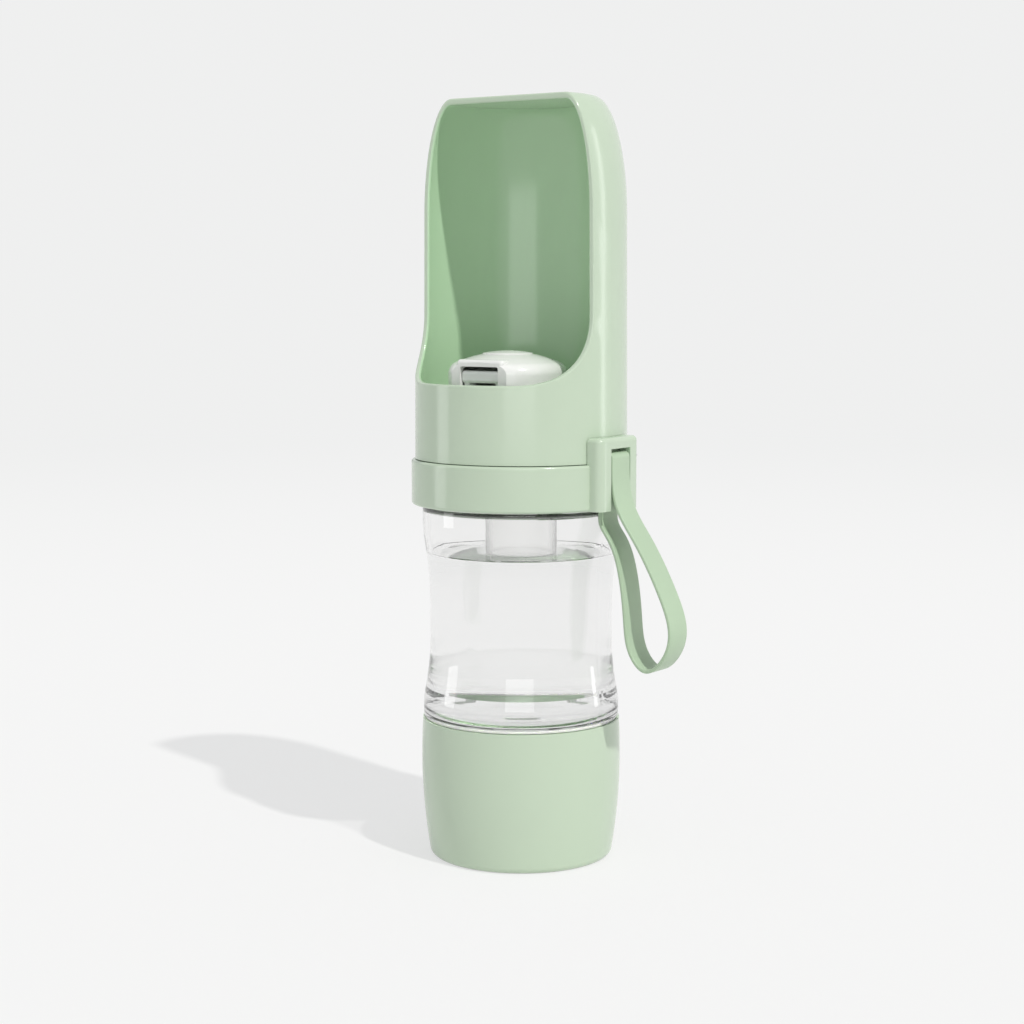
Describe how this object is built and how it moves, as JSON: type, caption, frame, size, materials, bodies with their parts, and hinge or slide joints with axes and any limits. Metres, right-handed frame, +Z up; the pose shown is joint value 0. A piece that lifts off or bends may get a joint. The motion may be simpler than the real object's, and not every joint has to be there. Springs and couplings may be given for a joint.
{
  "type": "dog travel water bottle",
  "caption": "Waisted clear water bottle with a screwed-on drinking hood, a keyed valve dome inside it, a screwed-on food cup below and a strap on a turning collar.",
  "frame": {"origin": "on the bottle's upright axis, on the surface that the food cup stands on", "axes": "+Z up the bottle's axis, -Y out of the hood's opening, +X towards the strap's lug as pictured"},
  "size_m": [0.1067, 0.0796, 0.275],
  "materials": {
    "green_plastic": "smooth satin gloss, pale sage green",
    "clear_plastic": "clear, glossy",
    "white_plastic": "white, glossy",
    "grey_plastic": "light grey, glossy",
    "green_silicone": "soft matt, pale sage green",
    "pale_silicone": "translucent white silicone, matt",
    "steel": "bright stainless steel"
  },
  "bodies": {
    "cup": {"food_cup": "green_plastic"},
    "cup_seal": {"cup_gasket": "pale_silicone"},
    "bottle": {"bottle": "clear_plastic"},
    "mouth_seal": {"hood_gasket": "pale_silicone"},
    "hood": {"hood": "green_plastic", "valve_body": "white_plastic", "flange_seal": "pale_silicone", "valve_cap": "white_plastic", "cap_disc": "white_plastic", "dome_seal": "pale_silicone", "key_pin": "steel", "valve_screws": "steel", "valve_spring": "steel"},
    "collar": {"collar_ring": "green_plastic", "strap_pin": "steel"},
    "strap": {"strap": "green_silicone"},
    "key": {"dispense_key": "grey_plastic"},
    "stem": {"valve_stem": "white_plastic", "valve_plug": "pale_silicone", "spring_cap": "white_plastic"}
  },
  "joints": [
    {"name": "cup_lift", "type": "slide", "parent": "cup", "child": "cup_seal", "axis": [0, 0, 1], "range_m": [0, 0.006]},
    {"name": "cup_unscrew", "type": "hinge", "parent": "cup_seal", "child": "bottle", "pos_m": [0, 0, 0.051], "axis": [0, 0, 1], "range_deg": [0, 360]},
    {"name": "hood_lift", "type": "slide", "parent": "bottle", "child": "mouth_seal", "axis": [0, 0, 1], "range_m": [0, 0.008]},
    {"name": "hood_unscrew", "type": "hinge", "parent": "mouth_seal", "child": "hood", "pos_m": [0, 0, 0.1566], "axis": [0, 0, 1], "range_deg": [0, 360]},
    {"name": "collar_swivel", "type": "hinge", "parent": "bottle", "child": "collar", "pos_m": [0, 0, 0.138], "axis": [0, 0, 1], "continuous": true},
    {"name": "strap_swing", "type": "hinge", "parent": "collar", "child": "strap", "pos_m": [0.0409, 0, 0.148], "axis": [0, -1, 0], "range_deg": [0, 80]},
    {"name": "key_press", "type": "hinge", "parent": "hood", "child": "key", "pos_m": [0, -0.02, 0.1689], "axis": [-1, 0, 0], "range_deg": [0, 8.6]},
    {"name": "stem_slide", "type": "slide", "parent": "hood", "child": "stem", "axis": [0, 0, -1], "range_m": [0, 0.003], "stiffness_N_per_m": 500, "springref_m": -0.002, "deforming": ["valve_spring"]}
  ],
  "couplings": [
    {"joint": "cup_lift", "follows": "cup_unscrew", "m_per_rad": 0.00095493},
    {"joint": "hood_lift", "follows": "hood_unscrew", "m_per_rad": 0.0012732},
    {"joint": "key_press", "follows": "stem_slide", "rad_per_m": 50}
  ]
}
